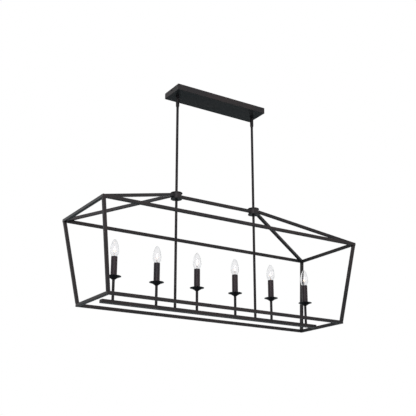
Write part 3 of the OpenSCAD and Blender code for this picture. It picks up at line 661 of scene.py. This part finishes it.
def wire_connectors():
    """Twist-on connectors: a cone along X whose radius is waved by flutes, each half a cosine
    wave deep, that fade out at the skirt and at the tip, which closes as a quarter ellipse."""
    low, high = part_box("wire_connectors")
    length = high.x - low.x
    a = np.linspace(0, TURN, 8 * CONNECTOR_FLUTES, endpoint=False)
    t = np.linspace(0, 1, 40)[:, None]
    dome = np.sqrt(1 - np.clip((t - DOME_FROM) / (1 - DOME_FROM), 0, 1) ** 2)
    fade = ease((t - FLUTE_FROM) / FLUTE_FADE) * ease((FLUTE_TO - t) / FLUTE_FADE)
    flute = FLUTE_DEPTH * fade * (0.5 - 0.5 * np.cos(CONNECTOR_FLUTES * a))
    r = lerp(CONNECTOR_R, CONNECTOR_TIP_R, t) * dome - flute
    cone = np.stack([low.x + t * length + 0 * a, r * np.cos(a), r * np.sin(a)], axis=-1)
    deep = np.array([[BORE_TO], [BORE_TO], [0.0]])
    mouth_r = CONNECTOR_R - CONNECTOR_WALL
    bore = np.array([[0.0], [mouth_r - 0.6 * CONNECTOR_WALL], [mouth_r]])
    mouth = np.stack([low.x + deep * length + 0 * a, bore * np.cos(a), bore * np.sin(a)], axis=-1)
    connectors = Piece()
    y, z = high.y - CONNECTOR_R, (low.z + high.z) / 2
    for side in (-1, 1):
        connectors.grid(np.concatenate([mouth, cone]) + (0, side * y, z), across=True)
    connectors.make("wire_connector_pair", ORANGE, "canopy", "connector_plastic",
                    "wire_connectors")


def rounded_path(corners, bend):
    """A path through corners, each turned in a quadratic curve that starts bend metres short,
    with points added so that they lie close all along it."""
    corners = np.asarray(corners, float)
    t = np.linspace(0, 1, 7)[:, None]
    runs = [corners[:1]]
    for before, corner, after in zip(corners, corners[1:], corners[2:]):
        start = corner + (before - corner) / np.linalg.norm(before - corner) * bend
        end = corner + (after - corner) / np.linalg.norm(after - corner) * bend
        runs.append((1 - t) ** 2 * start + 2 * t * (1 - t) * corner + t ** 2 * end)
    runs.append(corners[-1:])
    path = np.concatenate(runs)
    lengths = np.concatenate([[0], np.cumsum(np.linalg.norm(np.diff(path, axis=0), axis=1))])
    spaced = np.unique(np.concatenate([np.linspace(0, lengths[-1], 90), lengths]))
    return np.stack([np.interp(spaced, lengths, path[:, i]) for i in range(3)], axis=-1)


def canopy_leads():
    """The leads in the canopy: black and white to the connectors, bare copper to the screw."""
    rod_x = middle("upper_rod_left").x
    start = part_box("swivel_balls")[1].z + LEAD_RISE
    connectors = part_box("wire_connectors")
    wire_z = (connectors[0].z + connectors[1].z) / 2
    connector_x, connector_y = connectors[0].x + LEAD_REACH, connectors[1].y - CONNECTOR_R

    def out_of_rod(angle):
        """Where the lead at this angle round the rod's middle comes out, in x and y."""
        turn = math.radians(angle)
        return rod_x + LEAD_RING * math.cos(turn), LEAD_RING * math.sin(turn)

    for name, finish, angle, y_end, nodes in (
            ("black", BLACK_LEAD, 90, connector_y, ("canopy_leads",)),
            ("white", WHITE_LEAD, 210, -connector_y, ())):
        x, y = out_of_rod(angle)
        path = rounded_path([(x, y, start), (x, y, wire_z), (x, y_end, wire_z),
                             (connector_x, y_end, wire_z)], LEAD_BEND)
        Piece().swept(path, LEAD_R, 14).make(
            f"canopy_lead_{name}", finish, "canopy", "lead_covering", *nodes)
    x, y = out_of_rod(330)
    ground_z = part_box("canopy_leads")[1].z - LEAD_R
    path = rounded_path([(x, y, start), (x, y, ground_z),
                         (middle("ground_screw").x - GROUND_LEAD_GAP, y, ground_z)], LEAD_BEND)
    Piece().swept(path, LEAD_R, 14).make("canopy_lead_ground", COPPER, "canopy", "lead_covering")


def finishes():
    """Gives every CAD node that stays its finish."""
    cage = [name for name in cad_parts
            if name.split("_")[0] in ("hub", "ridge", "hip", "top", "corner", "bottom")]
    tubes = [f"{level}_rod_{side}" for level in ("upper", "lower") for side in ("left", "right")]
    dress(BRONZE, *cage, "canopy_shell", "candle_bar", "bar_end_caps", "bar_cover")
    dress(SHADED_TUBE_BRONZE, *tubes, "rod_couplings", "candle_stems")
    # Rods, couplings and stems get the painted-shade copy of the cage paint
    dress(DEEP_SHADED_BRONZE, "canopy_screws", "swivel_cups", "swivel_balls", "cover_screws")
    # Screws, cups and balls get the deeper painted-shade copy of the cage paint
    dress(ZINC, "mounting_bar", "socket_brackets")
    dress(GREEN, "ground_screw")
    dress(PHENOLIC, "sockets")
    dress(BRASS, "socket_shells")
    dress(LEADS, "fixture_leads")


def seen(finish, *kinds):
    """1 for rays of these kinds, and 0 for all others."""
    rays = [finish.node("ShaderNodeLightPath", output=f"Is {kind} Ray") for kind in kinds]
    return sum(rays).clipped()


def floor():
    """A pale, cool floor that fades into the white background away from the light: soon to the
    eye and in glass, and farther out in the gloss of paint and metal."""
    finish = Finish("pale_floor")
    place = finish.place()
    away = finish.node("ShaderNodeVectorMath", {"operation": "LENGTH"}, {0: place}, "Value")

    def fade(start, end):
        """0 up to start metres away, 1 from end metres on."""
        return ((away - start) / (end - start)).clipped()

    pale = finish.node("ShaderNodeBsdfDiffuse", inputs={"Color": rgb(0.62, 0.74, 0.77)})
    white = finish.node("ShaderNodeEmission", inputs={"Color": rgb(1, 1, 1), "Strength": 1.0})
    whiteness = (fade(*WHITE_TO_EYE) * seen(finish, "Camera", "Transmission")
                 + fade(*WHITE_IN_GLOSS) * seen(finish, "Glossy")).clipped()
    material = finish.done(finish.node(
        "ShaderNodeMixShader", inputs={0: whiteness, 1: pale, 2: white}))
    mesh = bpy.data.meshes.new("floor")
    corners = [(x * FLOOR_HALF, y * FLOOR_HALF, 0)
               for x, y in ((-1, -1), (1, -1), (1, 1), (-1, 1))]
    mesh.from_pydata(corners, [], [(0, 1, 2, 3)])
    mesh.materials.append(material)
    ground = bpy.data.objects.new("floor", mesh)
    ground.location.z = FLOOR_Z
    bpy.context.scene.collection.objects.link(ground)


def surroundings():
    """A white room to the eye, in glass and in every reflection. The light that it casts is
    grey above the horizon and dimmer and cooler below it."""
    finish = Finish("studio", world=True)
    direction = finish.node("ShaderNodeTexCoord", output="Generated")
    height = finish.node("ShaderNodeSeparateXYZ", inputs={"Vector": direction}, output="Z")
    room = finish.node("ShaderNodeBackground", inputs={
        "Color": finish.blend((height * 1.5 + 0.5).clipped(), ROOM_LOW, ROOM_HIGH),
        "Strength": 1.0})
    white = finish.node("ShaderNodeBackground", inputs={"Color": rgb(1, 1, 1), "Strength": 1.0})
    bpy.context.scene.world = finish.done(finish.node("ShaderNodeMixShader", inputs={
        0: seen(finish, "Camera", "Transmission", "Glossy"), 1: room, 2: white}))


def softbox(name, at, towards, size, power, colour):
    """A square soft lamp at one place, aimed at another; the camera doesn't see it."""
    lamp = bpy.data.lights.new(name, "AREA")
    lamp.size = size
    lamp.energy = power
    lamp.color = colour
    box = bpy.data.objects.new(name, lamp)
    box.location = at
    box.rotation_euler = (Vector(towards) - Vector(at)).to_track_quat("-Z", "Y").to_euler()
    box.visible_camera = False
    bpy.context.scene.collection.objects.link(box)


def camera():
    """The camera of the photograph: its yaw is turned from +Y towards +X, and it looks up."""
    data = bpy.data.cameras.new("camera")
    data.sensor_width = SENSOR
    data.lens = FOCAL_PIXELS / FRAME_PIXELS * SENSOR
    eye = bpy.data.objects.new("camera", data)
    eye.location = CAMERA_AT
    eye.rotation_euler = (math.radians(90 + CAMERA_RISE), 0, math.radians(-CAMERA_YAW))
    bpy.context.scene.collection.objects.link(eye)
    bpy.context.scene.camera = eye


def studio():
    """Floor, surroundings, lamps and camera."""
    camera()
    floor()
    surroundings()
    for lamp in LAMPS:
        softbox(*lamp)
    bpy.context.scene.view_settings.view_transform = "Standard"


finishes()
bulbs()
candle_sleeves()
drip_dishes()
nuts()
lock_washers()
wire_connectors()
canopy_leads()
studio()
